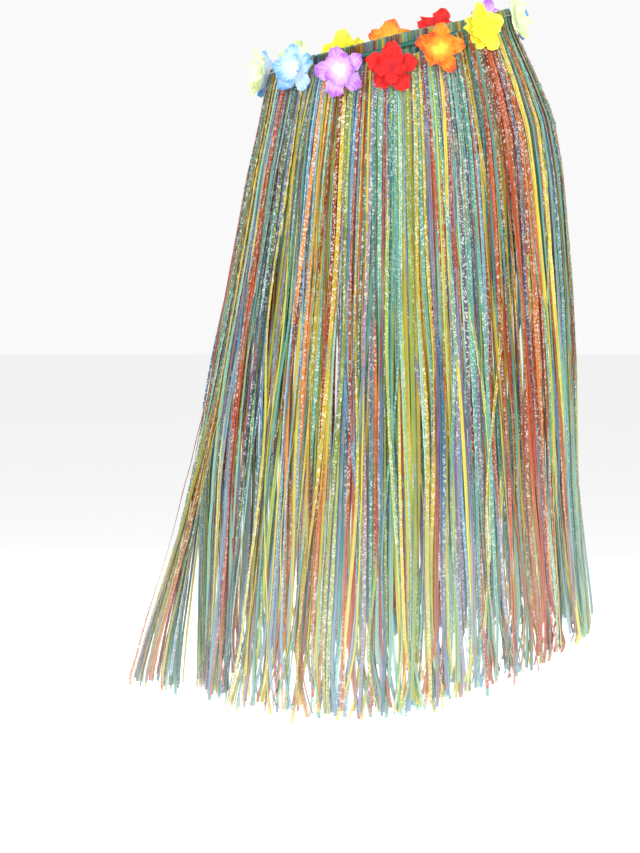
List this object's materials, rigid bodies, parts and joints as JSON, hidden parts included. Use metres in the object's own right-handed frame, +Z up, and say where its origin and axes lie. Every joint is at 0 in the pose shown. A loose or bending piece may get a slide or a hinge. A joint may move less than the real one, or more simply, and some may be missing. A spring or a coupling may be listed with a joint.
{
  "type": "grass skirt",
  "caption": "Long party grass skirt of crinkled many-coloured plastic film strips on an elastic waistband with a garland of cloth flowers, worn, with one hip raised.",
  "frame": {"origin": "middle of the waistband, where the wearer's hips hold the skirt up", "axes": "+Z up, +X towards the raised hip (the viewer's right), -Y towards the viewer, out of the skirt's front"},
  "size_m": [0.5889, 0.3525, 0.9036],
  "materials": {
    "elastic": "narrow knitted elastic under looped film",
    "film_mint": "thin crinkled see-through film with a pearly sheen",
    "film_red": "thin crinkled see-through film with a pearly sheen",
    "film_yellow": "thin crinkled see-through film with a pearly sheen",
    "film_blue": "thin crinkled see-through film with a pearly sheen",
    "film_orange": "thin crinkled see-through film with a pearly sheen",
    "film_lime": "thin crinkled see-through film with a pearly sheen",
    "film_violet": "thin crinkled see-through film with a pearly sheen",
    "film_teal": "thin crinkled see-through film with a pearly sheen",
    "petal_red": "stiffened plain-woven polyester, heat-creased",
    "petal_orange": "stiffened plain-woven polyester, heat-creased",
    "petal_yellow": "stiffened plain-woven polyester, heat-creased",
    "petal_lime": "stiffened plain-woven polyester, heat-creased",
    "petal_blue": "stiffened plain-woven polyester, heat-creased",
    "petal_purple": "stiffened plain-woven polyester, heat-creased"
  },
  "bodies": {
    "root": {"waistband": "elastic", "hank_00": "film_mint", "hank_01": "film_red", "hank_02": "film_yellow", "hank_03": "film_blue", "hank_04": "film_orange", "hank_05": "film_lime", "hank_06": "film_violet", "hank_07": "film_teal", "hank_08": "film_mint", "hank_09": "film_red", "hank_10": "film_yellow", "hank_11": "film_blue", "hank_trailing": "film_orange", "hank_13": "film_lime", "hank_14": "film_violet", "hank_15": "film_teal", "flower_00_lime_lower": "petal_lime", "flower_00_lime_upper": "petal_lime", "flower_01_blue_lower": "petal_blue", "flower_01_blue_upper": "petal_blue", "flower_02_purple_lower": "petal_purple", "flower_02_purple_upper": "petal_purple", "flower_03_red_lower": "petal_red", "flower_03_red_upper": "petal_red", "flower_04_orange_lower": "petal_orange", "flower_04_orange_upper": "petal_orange", "flower_05_yellow_lower": "petal_yellow", "flower_05_yellow_upper": "petal_yellow", "flower_06_lime_lower": "petal_lime", "flower_06_lime_upper": "petal_lime", "flower_07_blue_lower": "petal_blue", "flower_07_blue_upper": "petal_blue", "flower_08_purple_lower": "petal_purple", "flower_08_purple_upper": "petal_purple", "flower_09_red_lower": "petal_red", "flower_09_red_upper": "petal_red", "flower_10_orange_lower": "petal_orange", "flower_10_orange_upper": "petal_orange", "flower_11_yellow_lower": "petal_yellow", "flower_11_yellow_upper": "petal_yellow", "flower_12_lime_lower": "petal_lime", "flower_12_lime_upper": "petal_lime", "flower_13_blue_lower": "petal_blue", "flower_13_blue_upper": "petal_blue"}
  },
  "joints": []
}
